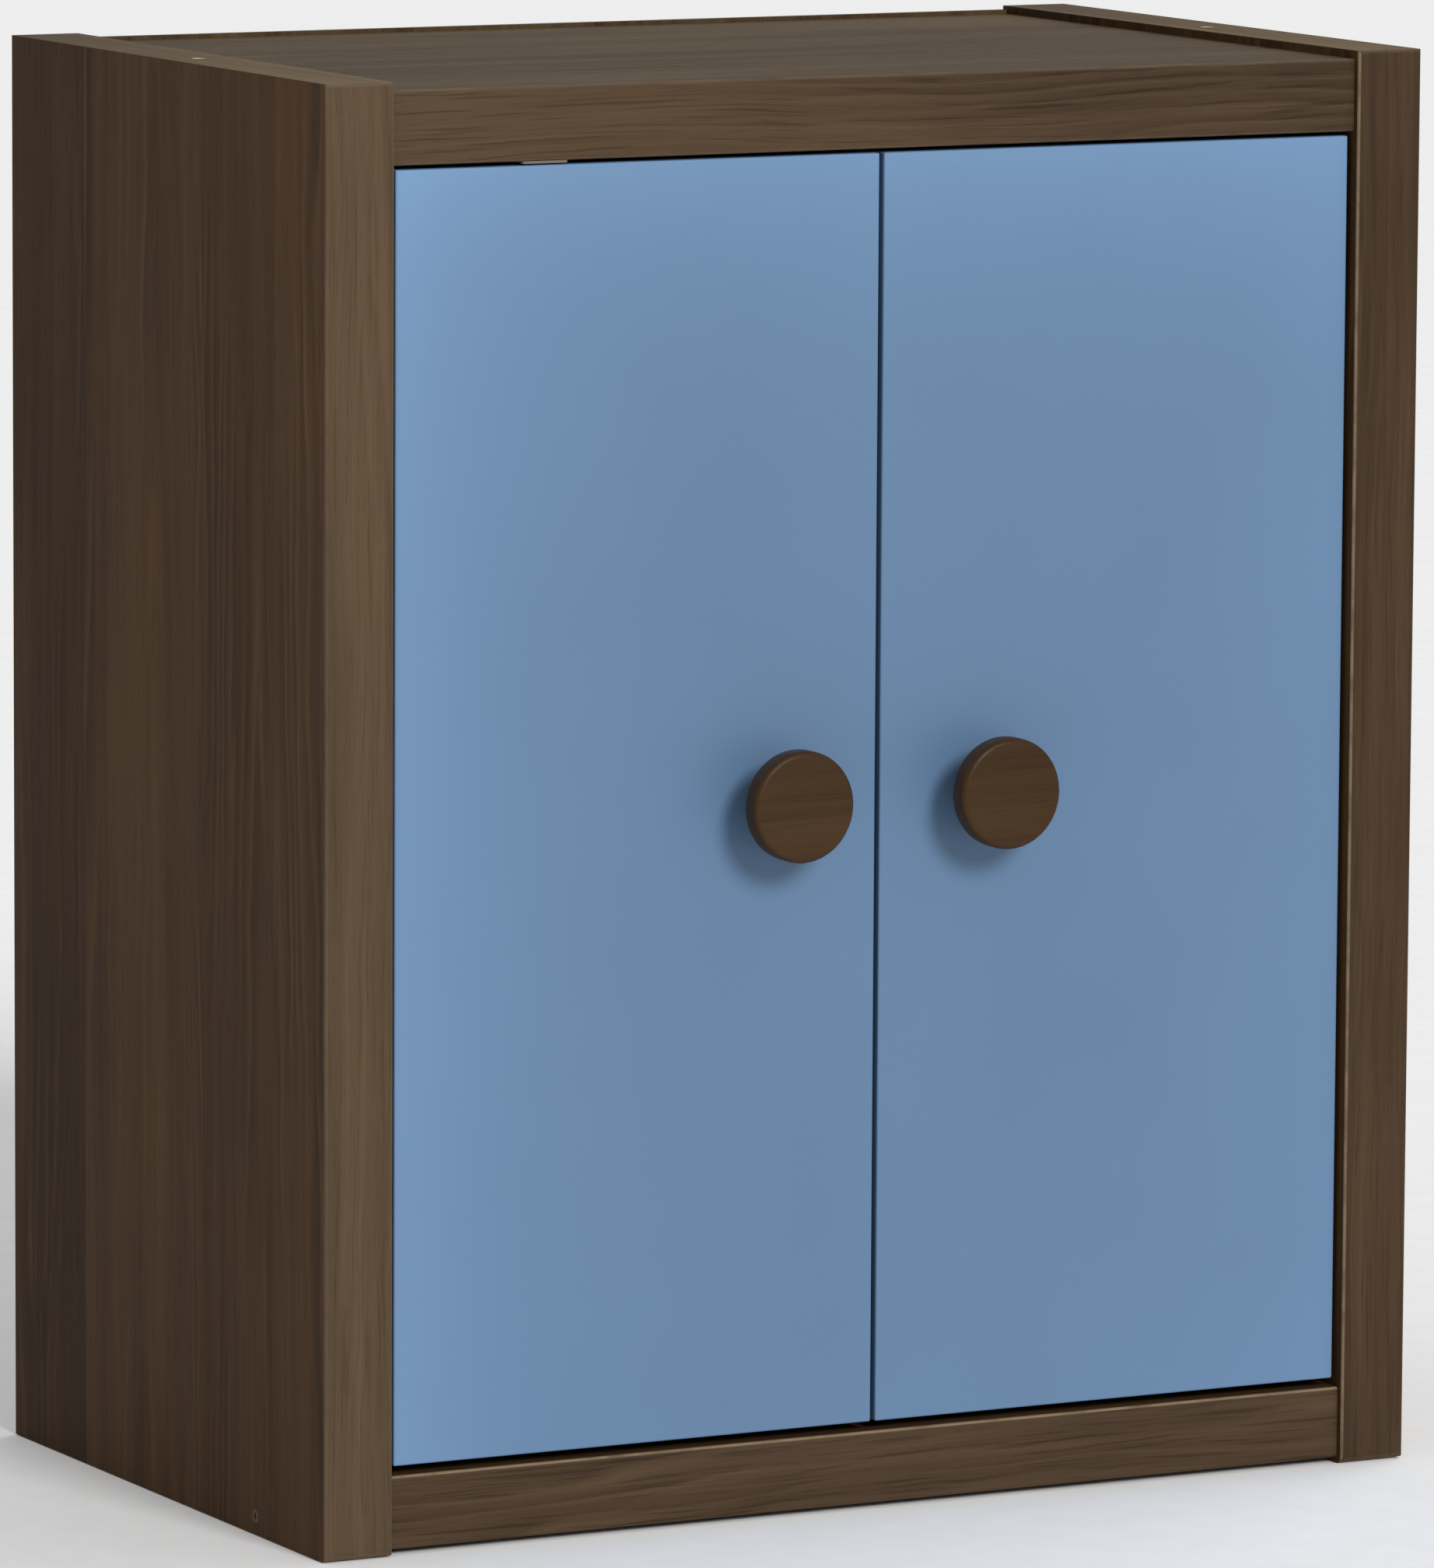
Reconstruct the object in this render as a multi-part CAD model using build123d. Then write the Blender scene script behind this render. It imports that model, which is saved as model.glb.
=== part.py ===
from build123d import *
import math
import os

# Two-door cube storage cabinet.  Millimetres, +Z up, front towards -Y, +X to the right seen from
# the front.  The origin is on the floor, below the middle of the outer box, knobs included.

# Outer size and board thicknesses
WIDTH = 600.0
HEIGHT = 708.0
SIDE_DEPTH = 362.0
BOARD = 36.0
SHELF_BOARD = 18.0
DOOR_BOARD = 18.0
BACK_BOARD = 5.0
BAND = 2.0

# How the boards stand to each other
KNOB_REACH = 28.0          # knob face in front of the sides' front edges
BOARD_RECESS = 4.0         # top and bottom boards behind the sides' front edges
DOOR_RECESS = 5.0          # door faces behind the sides' front edges
LIP_TOP = 4.0              # sides above the top board
LIP_BOTTOM = 2.5           # sides below the bottom board
BACK_LIP = 2.0             # sides above the back board
ARRIS = 2.0                # rounded front corners of the edge bands
SOFT = 1.0                 # rounded corners of doors and shelf
FOOT_ROUND = 4.0           # rounded lower front corner of each side
JOIN = 0.1                 # play between boards and in blind bores

# Doors
SIDE_GAP = 2.75
CENTRE_GAP = 2.5
TOP_GAP = 2.0
BOTTOM_GAP = 4.5

# Knobs
KNOB_DIAMETER = 54.6
KNOB_FROM_CENTRE = 57.0
KNOB_DISC = 14.0
KNOB_NECK_DIAMETER = 20.0
KNOB_FOOT_DIAMETER = 27.0
KNOB_ROUND = 2.5
INSERT_DIAMETER = 8.0
INSERT_LENGTH = 12.0
KNOB_SCREW = 4.0

# Hinges: a cup in the door turns on a pin held in the cup, through the knuckle of a bent arm
HINGE_FROM_DOOR_END = 100.0
CUP_DIAMETER = 35.0
CUP_WALL = 1.0
CUP_DEPTH = 12.5
CUP_FLANGE = 1.5
CUP_SCREW = 3.0
CUP_SCREW_SPACING = 48.0
CUP_SCREW_OFFSET = 6.0
PIN_FROM_DOOR_EDGE = 24.0
PIN_DEPTH = 7.0            # pin axis below the door's rear face
PIN_DIAMETER = 3.0
PIN_LENGTH = 22.0
PIN_PLAY = 0.05
KNUCKLE_DIAMETER = 6.4
NECK_ANGLE = 37.5          # the neck leaves the pin half way between both door limits
NECK_LENGTH = 24.0
NECK_BEND = 8.5
NECK_THICKNESS = 4.0
NECK_HEIGHT = 11.0
ARM_BEND = 6.0
ARM_LENGTH = 46.0
ARM_HEIGHT = 17.0
ARM_WALL = 1.6
PLATE_THICKNESS = 2.0
PLATE_LENGTH = 48.0
PLATE_WING = 52.0
PLATE_WING_DEPTH = 14.0
PLATE_SCREW_SPACING = 32.0
PLATE_SCREW_HEAD = 7.0
PLATE_SCREW_LENGTH = 15.0
HINGE_SCREW = 4.0

# Shelf
SHELF_SETBACK = 24.0       # shelf front behind the doors' rear faces, out of their swing
SHELF_PLAY = 0.8
SHELF_HOLE = 5.0
SHELF_HOLE_DEPTH = 10.0
SHELF_HOLE_PITCH = 32.0
SHELF_HOLES_PER_ROW = 5
SHELF_HOLE_FROM_END = 55.0

# Fittings that hold the case together
CAM_DIAMETER = 15.0
CAM_HEIGHT = 13.0
CAM_FROM_END = 34.0
CAM_BOLT_DIAMETER = 6.0
CAM_BOLT_HEAD = 9.0
DOWEL_DIAMETER = 8.0
DOWEL_LENGTH = 40.0
DOWEL_OFFSET = 32.0
JOINT_FROM_BOARD_END = 60.0
LOCK_SCREW = 4.0
LOCK_SCREW_HEAD = 6.5
LOCK_SCREW_LENGTH = 60.0
LOCK_SCREW_HEIGHT = 9.0
LOCK_SCREW_BACK = 78.0
SLEEVE_DIAMETER = 8.0
SLEEVE_BORE = 5.0
SLEEVE_LENGTH = 16.0
BACK_SCREWS_PER_EDGE = 4
BACK_SCREW = 3.5
BACK_SCREW_LENGTH = 25.0
BACK_SCREW_FROM_SIDE = 40.0

# Door catch and the pale pad in the gap above the left door
CATCH_WIDTH = 50.0
CATCH_HEIGHT = 14.0
CATCH_DEPTH = 16.0
CATCH_GAP = 0.3
CATCH_SCREW = 3.0
CATCH_SCREW_LENGTH = 16.0
STRIKE_THICKNESS = 1.2
STRIKE_SCREW = 2.5
PAD_FROM_INNER_FACE = 70.0
PAD_WIDTH = 24.0
PAD_DEPTH = 12.0
PAD_THICKNESS = 1.2

# Places that follow from the sizes above
SIDE_FRONT = KNOB_REACH - (SIDE_DEPTH + KNOB_REACH) / 2
SIDE_BACK = SIDE_FRONT + SIDE_DEPTH
INNER = WIDTH / 2 - BOARD
CASE_FRONT = SIDE_FRONT + BOARD_RECESS
BACK_FRONT = SIDE_BACK - BACK_BOARD
FLOOR = LIP_BOTTOM + BOARD
CEILING = HEIGHT - LIP_TOP - BOARD
DOOR_FRONT = SIDE_FRONT + DOOR_RECESS
DOOR_BACK = DOOR_FRONT + DOOR_BOARD
DOOR_BOTTOM = FLOOR + BOTTOM_GAP
DOOR_TOP = CEILING - TOP_GAP
DOOR_OUTER = INNER - SIDE_GAP
DOOR_INNER = CENTRE_GAP / 2
KNOB_Z = HEIGHT / 2
PIN_X = DOOR_OUTER - PIN_FROM_DOOR_EDGE
PIN_Y = DOOR_BACK - PIN_DEPTH
HINGE_Z = {"lower": DOOR_BOTTOM + HINGE_FROM_DOOR_END, "upper": DOOR_TOP - HINGE_FROM_DOOR_END}
SHELF_UNDER = (FLOOR + CEILING) / 2 - SHELF_BOARD / 2
SHELF_FRONT = DOOR_BACK + SHELF_SETBACK
SIDES = {"left": -1, "right": 1}

# Hinge places, measured from the pin with x towards the middle of the cabinet
WALL_X = -(SIDE_GAP + PIN_FROM_DOOR_EDGE)
PLATE_X = WALL_X + PLATE_THICKNESS
ARM_X = PLATE_X + 4.5
NECK_RISE = math.radians(NECK_ANGLE)
BRIDGE_Y = NECK_LENGTH * math.sin(NECK_RISE) + NECK_BEND * (1 + math.cos(NECK_RISE))
ARM_TAIL = BRIDGE_Y + ARM_BEND
PLATE_START = ARM_TAIL - 2
WING_Y = PLATE_START + 14
ADJUST_SCREW_Y = PLATE_START + 14
FIXING_SCREW_Y = PLATE_START + 34


def block(x0, x1, y0, y1, z0, z1):
    """A box between two planes along each axis."""
    size = Box(abs(x1 - x0), abs(y1 - y0), abs(z1 - z0))
    return Pos((x0 + x1) / 2, (y0 + y1) / 2, (z0 + z1) / 2) * size


def rod(diameter, start, end):
    """A round bar between two points."""
    a = Vector(*start)
    run = Vector(*end) - a
    return extrude(Plane(origin=a, z_dir=run) * Circle(diameter / 2), run.length)


def countersunk(shank, head, start, end):
    """The outer shape of a flush screw, head at start, which also bores its hole."""
    a = Vector(*start)
    run = Vector(*end) - a
    depth = (head - shank) / 2
    outline = Polyline((0, 0), (head / 2, 0), (shank / 2, depth), (shank / 2, run.length - shank),
                       (shank * 0.12, run.length), (0, run.length), close=True)
    return Plane(origin=a, z_dir=run) * revolve(Plane.XZ * make_face(outline), Axis.Z)


def cross_slot(size, width, depth):
    return Box(size, width, depth) + Box(width, size, depth)


def screw(shank, head, start, end):
    """A flush screw with a cross recess."""
    a = Vector(*start)
    slot = cross_slot(head * 0.62, head * 0.16, head * 0.2)
    return countersunk(shank, head, start, end) - Plane(origin=a, z_dir=Vector(*end) - a) * slot


def pan_screw(shank, head, seat, length):
    """A round-headed screw driven towards -Y from its seat."""
    thick = head * 0.28
    dome = soften(Cylinder(head / 2, thick), thick * 0.45, lambda e: e.center().Z > thick / 4)
    dome -= Pos(0, 0, thick / 2) * cross_slot(head * 0.6, head * 0.13, thick)
    shape = Pos(0, 0, thick / 2 + 0.05) * dome + Pos(0, 0, (thick / 2 - length) / 2) * Cylinder(
        shank / 2, length + thick / 2)
    return Plane(origin=seat, z_dir=(0, 1, 0)) * shape


def soften(solid, radius, chosen):
    """Round the edges of a solid that the test picks out."""
    return fillet([e for e in solid.edges() if chosen(e)], radius)


def along(edge, axis):
    """True for a straight edge that runs along X, Y or Z."""
    run = edge.end_point() - edge.start_point()
    return abs(abs(run.normalized().dot(axis)) - 1) < 1e-6


def near(value, target):
    return abs(value - target) < 0.01


def joint_places():
    """Depths of the two joint lines where the top and bottom boards meet the sides."""
    return (CASE_FRONT + JOINT_FROM_BOARD_END, BACK_FRONT - JOINT_FROM_BOARD_END)


def joint_heights():
    """Mid-heights of the bottom and top boards, with the cam's open face of each."""
    return ((LIP_BOTTOM + BOARD / 2, LIP_BOTTOM), (CEILING + BOARD / 2, CEILING))


def shelf_hole_rows():
    """Depths of the front and rear rows of shelf holes."""
    return (SHELF_FRONT + SHELF_HOLE_FROM_END, BACK_FRONT - SHELF_HOLE_FROM_END)


def shelf_hole_heights():
    middle = SHELF_UNDER - SHELF_HOLE / 2
    half = SHELF_HOLES_PER_ROW // 2
    return [middle + SHELF_HOLE_PITCH * n for n in range(-half, half + 1)]


def case_joints():
    """Every board-to-side joint as (side sign, depth, height, cam face)."""
    return [(s, y, z, face) for s in SIDES.values() for y in joint_places() for z, face in joint_heights()]


# Case boards and their edge bands

def foot_corner(s):
    """What the rounding takes off the lower front corner of a side, through board and band."""
    y, z = SIDE_FRONT + FOOT_ROUND, FOOT_ROUND
    corner = block(s * (INNER - 1), s * (WIDTH / 2 + 1), SIDE_FRONT - 1, y, -1, z)
    return corner - rod(2 * FOOT_ROUND, (s * (INNER - 2), y, z), (s * (WIDTH / 2 + 2), y, z))


def side_panel(s):
    panel = block(s * INNER, s * WIDTH / 2, SIDE_FRONT + BAND, SIDE_BACK, 0, HEIGHT) - foot_corner(s)
    for y in joint_places():
        for z, _ in joint_heights():
            panel -= rod(CAM_BOLT_DIAMETER + JOIN, (s * (INNER - 1), y, z), (s * (INNER + 12), y, z))
            dowel_y = y + DOWEL_OFFSET
            end = s * (INNER + DOWEL_LENGTH / 2 + 1)
            panel -= rod(DOWEL_DIAMETER + JOIN, (s * (INNER - 1), dowel_y, z), (end, dowel_y, z))
    for y in shelf_hole_rows():
        for z in shelf_hole_heights():
            panel -= rod(SHELF_HOLE, (s * (INNER - 1), y, z), (s * (INNER + SHELF_HOLE_DEPTH), y, z))
    for hinge_z in HINGE_Z.values():
        for y, z in plate_screw_places(hinge_z):
            end = s * (INNER + PLATE_SCREW_LENGTH)
            panel -= rod(HINGE_SCREW + JOIN, (s * (INNER - 1), y, z), (end, y, z))
    panel -= lock_screw_hole(s)
    middle = (SIDE_FRONT + SIDE_BACK) / 2
    x = s * (INNER + BOARD / 2)
    panel -= rod(SLEEVE_DIAMETER + JOIN, (x, middle, HEIGHT + 1), (x, middle, HEIGHT - SLEEVE_LENGTH))
    panel -= rod(SLEEVE_BORE, (x, middle, -1), (x, middle, SLEEVE_LENGTH))
    return panel


def side_band(s):
    band = block(s * INNER, s * WIDTH / 2, SIDE_FRONT, SIDE_FRONT + BAND, 0, HEIGHT)
    band = soften(band, ARRIS * 0.9, lambda e: near(e.center().Y, SIDE_FRONT) and e.center().Z > 1)
    return band - foot_corner(s)


def board(z0, cam_face):
    """The top or bottom board, bored for its cams, bolts and dowels."""
    z1 = z0 + BOARD
    middle = (z0 + z1) / 2
    into = 1 if cam_face < middle else -1
    reach = INNER - JOIN
    panel = block(-reach, reach, CASE_FRONT + BAND, BACK_FRONT, z0, z1)
    for s in SIDES.values():
        for y in joint_places():
            cam_x = s * (INNER - CAM_FROM_END)
            top = middle + into * CAM_HEIGHT / 2
            panel -= rod(CAM_DIAMETER + JOIN, (cam_x, y, cam_face - into), (cam_x, y, top + into))
            panel -= rod(CAM_BOLT_DIAMETER + 2 * JOIN + 2, (s * (INNER + 1), y, middle), (cam_x, y, middle))
            start = (s * (INNER + 1), y + DOWEL_OFFSET, middle)
            end = (s * (INNER - DOWEL_LENGTH / 2 - 1), y + DOWEL_OFFSET, middle)
            panel -= rod(DOWEL_DIAMETER + JOIN, start, end)
    for x, z in back_screw_places():
        if z0 < z < z1:
            panel -= back_screw_hole(x, z)
    return panel


def board_band(z0, z1, front):
    reach = INNER - JOIN
    band = block(-reach, reach, front, front + BAND, z0, z1)
    return soften(band, ARRIS * 0.9, lambda e: near(e.center().Y, front) and along(e, Vector(1, 0, 0)))


def top_panel():
    panel = board(CEILING, CEILING)
    for s in SIDES.values():
        x, y = catch_screw_place(s)
        panel -= rod(CATCH_SCREW + JOIN, (x, y, CEILING - 1), (x, y, CEILING + CATCH_SCREW_LENGTH))
    return panel


def bottom_panel():
    panel = board(LIP_BOTTOM, LIP_BOTTOM)
    for s in SIDES.values():
        panel -= lock_screw_hole(s)
    return panel


def back_screw_places():
    """Places of the back board's screws as (x, z)."""
    span = 2 * INNER - 2 * BACK_SCREW_FROM_SIDE
    row = [-span / 2 + span * n / (BACK_SCREWS_PER_EDGE - 1) for n in range(BACK_SCREWS_PER_EDGE)]
    return [(x, z) for x in row for z, _ in joint_heights()]


def back_screw(x, z):
    return screw(BACK_SCREW, 2 * BACK_SCREW, (x, SIDE_BACK, z), (x, SIDE_BACK - BACK_SCREW_LENGTH, z))


def back_screw_hole(x, z):
    wide = BACK_SCREW + JOIN
    end = (x, SIDE_BACK - BACK_SCREW_LENGTH - 1, z)
    return countersunk(wide, 2 * BACK_SCREW + JOIN, (x, SIDE_BACK, z), end)


def back_panel():
    reach = INNER - 3 * JOIN
    panel = block(-reach, reach, BACK_FRONT + JOIN, SIDE_BACK, LIP_BOTTOM, HEIGHT - BACK_LIP)
    for x, z in back_screw_places():
        panel -= back_screw_hole(x, z)
    return panel


# Fittings that hold the case together

def cam_lock(s, y, z, face):
    """A drum with an open mouth towards the bolt and a cross slot in its visible end."""
    into = 1 if face < z else -1
    x = s * (INNER - CAM_FROM_END)
    top = z + into * CAM_HEIGHT / 2
    start = face + into * 0.4
    drum = rod(CAM_DIAMETER - JOIN, (x, y, start), (x, y, top))
    drum -= rod(CAM_BOLT_HEAD + 1, (x, y, z), (x + s * CAM_DIAMETER, y, z))
    return drum - Pos(x, y, start) * cross_slot(CAM_DIAMETER * 0.6, 1.8, 3)


def cam_bolt(s, y, z):
    """A bolt screwed into the side, with a round head held in the cam."""
    head_x = s * (INNER - CAM_FROM_END)
    shank = rod(CAM_BOLT_DIAMETER - 1, (s * (INNER + 11), y, z), (head_x, y, z))
    head = rod(CAM_BOLT_HEAD - 1, (head_x + s * 1.5, y, z), (head_x + s * 4.5, y, z))
    collar = rod(CAM_BOLT_DIAMETER + 1.6, (s * (INNER - 0.3), y, z), (s * (INNER - 2), y, z))
    thread = rod(CAM_BOLT_DIAMETER, (s * (INNER + 0.3), y, z), (s * (INNER + 11), y, z))
    return shank + head + collar + thread


def wood_dowel(s, y, z):
    start = (s * (INNER - DOWEL_LENGTH / 2), y + DOWEL_OFFSET, z)
    end = (s * (INNER + DOWEL_LENGTH / 2), y + DOWEL_OFFSET, z)
    return chamfer(rod(DOWEL_DIAMETER, start, end).edges(), 0.8)


def lock_screw_ends(length):
    y = SIDE_FRONT + LOCK_SCREW_BACK
    return [(x, y, LOCK_SCREW_HEIGHT) for x in (WIDTH / 2, WIDTH / 2 - length)]


def on_side(s, points):
    """The same points on the left or the right side."""
    return [(s * x, y, z) for x, y, z in points]


def lock_screw(s):
    """The small screw low on each side that ties it to the bottom board."""
    return screw(LOCK_SCREW, LOCK_SCREW_HEAD, *on_side(s, lock_screw_ends(LOCK_SCREW_LENGTH)))


def lock_screw_hole(s):
    ends = on_side(s, lock_screw_ends(LOCK_SCREW_LENGTH + 1))
    return countersunk(LOCK_SCREW + JOIN, LOCK_SCREW_HEAD + JOIN, *ends)


def stacking_sleeve(s):
    """A lined hole in the top of each side, for a pin that locates a second cabinet."""
    x = s * (INNER + BOARD / 2)
    y = (SIDE_FRONT + SIDE_BACK) / 2
    tube = rod(SLEEVE_DIAMETER, (x, y, HEIGHT - 0.2), (x, y, HEIGHT - SLEEVE_LENGTH))
    return tube - rod(SLEEVE_BORE, (x, y, HEIGHT + 1), (x, y, HEIGHT - SLEEVE_LENGTH + 1.5))


# Shelf

def shelf():
    reach = INNER - SHELF_PLAY
    slab = block(-reach, reach, SHELF_FRONT + BAND / 2, BACK_FRONT - SHELF_PLAY, SHELF_UNDER,
                 SHELF_UNDER + SHELF_BOARD)
    return slab


def shelf_band():
    reach = INNER - SHELF_PLAY
    band = block(-reach, reach, SHELF_FRONT, SHELF_FRONT + BAND / 2, SHELF_UNDER, SHELF_UNDER + SHELF_BOARD)
    return soften(band, BAND * 0.4, lambda e: near(e.center().Y, SHELF_FRONT) and along(e, Vector(1, 0, 0)))


def shelf_pin(s, y):
    """A spigot in the side with a flat tongue that the shelf rests on."""
    z = SHELF_UNDER - SHELF_HOLE / 2
    spigot = rod(SHELF_HOLE - JOIN, (s * (INNER + SHELF_HOLE_DEPTH - 1), y, z), (s * (INNER - 2), y, z))
    tongue = block(s * (INNER - 0.3), s * (INNER - 10), y - 6, y + 6, z - 2.5, SHELF_UNDER - JOIN)
    heel = block(s * (INNER - 0.3), s * (INNER - 2.5), y - 6, y + 6, z - 9, z)
    return spigot + tongue + heel


# Hinges, drawn about the pin of the left door and mirrored for the right one

def plate_screw_places(hinge_z):
    """Places of the two screws of a hinge plate as (y, z)."""
    half = PLATE_SCREW_SPACING / 2
    return [(PIN_Y + WING_Y, hinge_z - half), (PIN_Y + WING_Y, hinge_z + half)]


def place(shape, s, z):
    """Move a shape drawn about the left pin to its side and height."""
    if s > 0:
        shape = mirror(shape, Plane.YZ)
    return Pos(s * PIN_X, PIN_Y, z) * shape


def strap_face(offset):
    """Points on one face of the bent strap, from the pin to the tail, with each arc's middle."""
    forward = Vector(math.cos(NECK_RISE), math.sin(NECK_RISE))
    across = Vector(-math.sin(NECK_RISE), math.cos(NECK_RISE))
    half_turn = Vector(math.cos(NECK_RISE / 2), math.sin(NECK_RISE / 2))
    neck_end = forward * NECK_LENGTH - across * offset
    neck_centre = forward * NECK_LENGTH + across * NECK_BEND
    neck_radius = NECK_BEND + offset
    arm_centre = Vector(ARM_X + ARM_BEND, BRIDGE_Y + ARM_BEND)
    arm_radius = ARM_BEND - offset
    slope = Vector(math.sqrt(0.5), math.sqrt(0.5))
    return [across * -offset, neck_end, neck_centre + half_turn * neck_radius,
            neck_centre + Vector(0, neck_radius), arm_centre - Vector(0, arm_radius),
            arm_centre - slope * arm_radius, arm_centre - Vector(arm_radius, 0)]


def strap_edges(face):
    pin, neck_end, neck_middle, bridge, corner, corner_middle, tail = face
    return [Line(pin, neck_end), ThreePointArc(neck_end, neck_middle, bridge), Line(bridge, corner),
            ThreePointArc(corner, corner_middle, tail)]


def neck_strap():
    """The bent neck of the arm, a strap of even thickness."""
    outer = strap_face(NECK_THICKNESS / 2)
    inner = strap_face(-NECK_THICKNESS / 2)
    ends = [Line(outer[-1], inner[-1]), Line(inner[0], outer[0])]
    return extrude(make_face(strap_edges(outer) + strap_edges(inner) + ends), NECK_HEIGHT / 2, both=True)


def hinge_arm(s, z):
    """Knuckle, bent neck and a channel-shaped tail with two screw holes."""
    half = ARM_HEIGHT / 2
    tail = block(ARM_X - 2, ARM_X + 2, ARM_TAIL - 1, ARM_TAIL + ARM_LENGTH, -half, half)
    tail = soften(tail, 4.0, lambda e: along(e, Vector(1, 0, 0)) and e.center().Y > ARM_TAIL)
    arm = neck_strap() + Cylinder(KNUCKLE_DIAMETER / 2, NECK_HEIGHT) + tail
    for wall in (-half, half - ARM_WALL):
        arm += block(PLATE_X + 0.2, ARM_X + 1, ARM_TAIL + 2, ARM_TAIL + ARM_LENGTH - 6,
                     wall, wall + ARM_WALL)
    arm -= Cylinder(PIN_DIAMETER / 2 + PIN_PLAY, NECK_HEIGHT + 2)
    for y in (ADJUST_SCREW_Y, FIXING_SCREW_Y):
        arm -= rod(HINGE_SCREW + 2 * JOIN, (ARM_X - 6, y, 0), (ARM_X + 6, y, 0))
    return place(arm, s, z)


def hinge_plate(s, z):
    """The cross-shaped plate on the side that carries the arm."""
    half_wing = PLATE_WING_DEPTH / 2
    strip = block(WALL_X, PLATE_X, PLATE_START, PLATE_START + PLATE_LENGTH, -half_wing, half_wing)
    wings = block(WALL_X, PLATE_X, WING_Y - half_wing, WING_Y + half_wing, -PLATE_WING / 2, PLATE_WING / 2)
    wings = soften(wings, half_wing - 1, lambda e: along(e, Vector(1, 0, 0)))
    boss = block(PLATE_X, ARM_X - 2 - JOIN, FIXING_SCREW_Y - 6, FIXING_SCREW_Y + 6, -5, 5)
    plate = strip + wings + boss
    for sign in (-1, 1):
        zz = sign * PLATE_SCREW_SPACING / 2
        plate -= countersunk(HINGE_SCREW + JOIN, PLATE_SCREW_HEAD + JOIN, (PLATE_X, WING_Y, zz),
                             (WALL_X - PLATE_SCREW_LENGTH, WING_Y, zz))
    plate -= rod(HINGE_SCREW + JOIN, (ARM_X, FIXING_SCREW_Y, 0), (WALL_X - 1, FIXING_SCREW_Y, 0))
    return place(plate, s, z)


def plate_screw(s, y, z):
    x = s * (INNER - PLATE_THICKNESS)
    return screw(HINGE_SCREW, PLATE_SCREW_HEAD, (x, y, z), (x + s * PLATE_SCREW_LENGTH, y, z))


def arm_screw(s, z, y, end_x):
    """A cheese-head screw through the arm's tail, seen from inside the cabinet."""
    shank = rod(HINGE_SCREW, (ARM_X + 3, y, 0), (end_x, y, 0))
    head = Cylinder(3.6, 2.2) - Pos(0, 0, 1.1) * cross_slot(5, 1, 1.6)
    return place(shank + Pos(ARM_X + 3.2, y, 0) * Rot(0, 90, 0) * head, s, z)


def arm_screws(s, z):
    return [arm_screw(s, z, FIXING_SCREW_Y, WALL_X + 0.3), arm_screw(s, z, ADJUST_SCREW_Y, PLATE_X + 0.2)]


def hinge_cup(s, z):
    """A pressed cup with two screw ears and two lugs that hold the pin."""
    back = PIN_DEPTH
    outer = rod(CUP_DIAMETER, (0, back, 0), (0, back - CUP_DEPTH, 0))
    reach = CUP_SCREW_SPACING / 2 + 5.5
    ears = block(-CUP_SCREW_OFFSET - 8, 11, back, back + CUP_FLANGE, -reach, reach)
    ears = soften(ears, 7.0, lambda e: along(e, Vector(0, 1, 0)))
    rim = rod(CUP_DIAMETER + 3, (0, back, 0), (0, back + CUP_FLANGE, 0))
    hollow = rod(CUP_DIAMETER - 2 * CUP_WALL, (0, back + 3, 0), (0, back - CUP_DEPTH + CUP_WALL, 0))
    cup = outer + ears + rim - hollow
    for sign in (-1, 1):
        near_z = sign * (NECK_HEIGHT / 2 + 0.5)
        far_z = sign * (PIN_LENGTH / 2 - 1)
        cup += block(-3.2, 3.2, back - CUP_DEPTH + CUP_WALL / 2, 2.6, near_z, far_z)
        ear_x = -CUP_SCREW_OFFSET
        ear_z = sign * CUP_SCREW_SPACING / 2
        cup -= rod(CUP_SCREW + JOIN, (ear_x, back - 1, ear_z), (ear_x, back + 3, ear_z))
    cup -= Cylinder(PIN_DIAMETER / 2 + 0.01, PIN_LENGTH + 0.4)
    return place(cup, s, z)


def hinge_pin(s, z):
    return place(chamfer(Cylinder(PIN_DIAMETER / 2, PIN_LENGTH).edges(), 0.3), s, z)


def cup_screw_places(s, z):
    x = s * (PIN_X + CUP_SCREW_OFFSET)
    return [(x, z - CUP_SCREW_SPACING / 2), (x, z + CUP_SCREW_SPACING / 2)]


def cup_screw(x, z):
    """A pan-head screw through an ear of the cup."""
    face = DOOR_BACK + CUP_FLANGE
    return pan_screw(CUP_SCREW, 6.6, (x, face, z), face - DOOR_BACK + 11)


# Doors, knobs and catch

def door_panel(s):
    slab = block(s * DOOR_INNER, s * DOOR_OUTER, DOOR_FRONT, DOOR_BACK, DOOR_BOTTOM, DOOR_TOP)
    slab = soften(slab, SOFT, lambda e: near(e.center().Y, DOOR_FRONT) or near(e.center().Y, DOOR_BACK)
                  or along(e, Vector(0, 1, 0)))
    for z in HINGE_Z.values():
        bottom = DOOR_BACK - CUP_DEPTH - JOIN
        slab -= rod(CUP_DIAMETER + JOIN, (s * PIN_X, DOOR_BACK + 1, z), (s * PIN_X, bottom, z))
        for x, screw_z in cup_screw_places(s, z):
            slab -= rod(3.1, (x, DOOR_BACK + 1, screw_z), (x, DOOR_BACK - 12, screw_z))
    knob_x = s * KNOB_FROM_CENTRE
    slab -= rod(KNOB_SCREW + 0.6, (knob_x, DOOR_FRONT - 1, KNOB_Z), (knob_x, DOOR_BACK + 1, KNOB_Z))
    return slab - strike_screw_hole(s)


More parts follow.
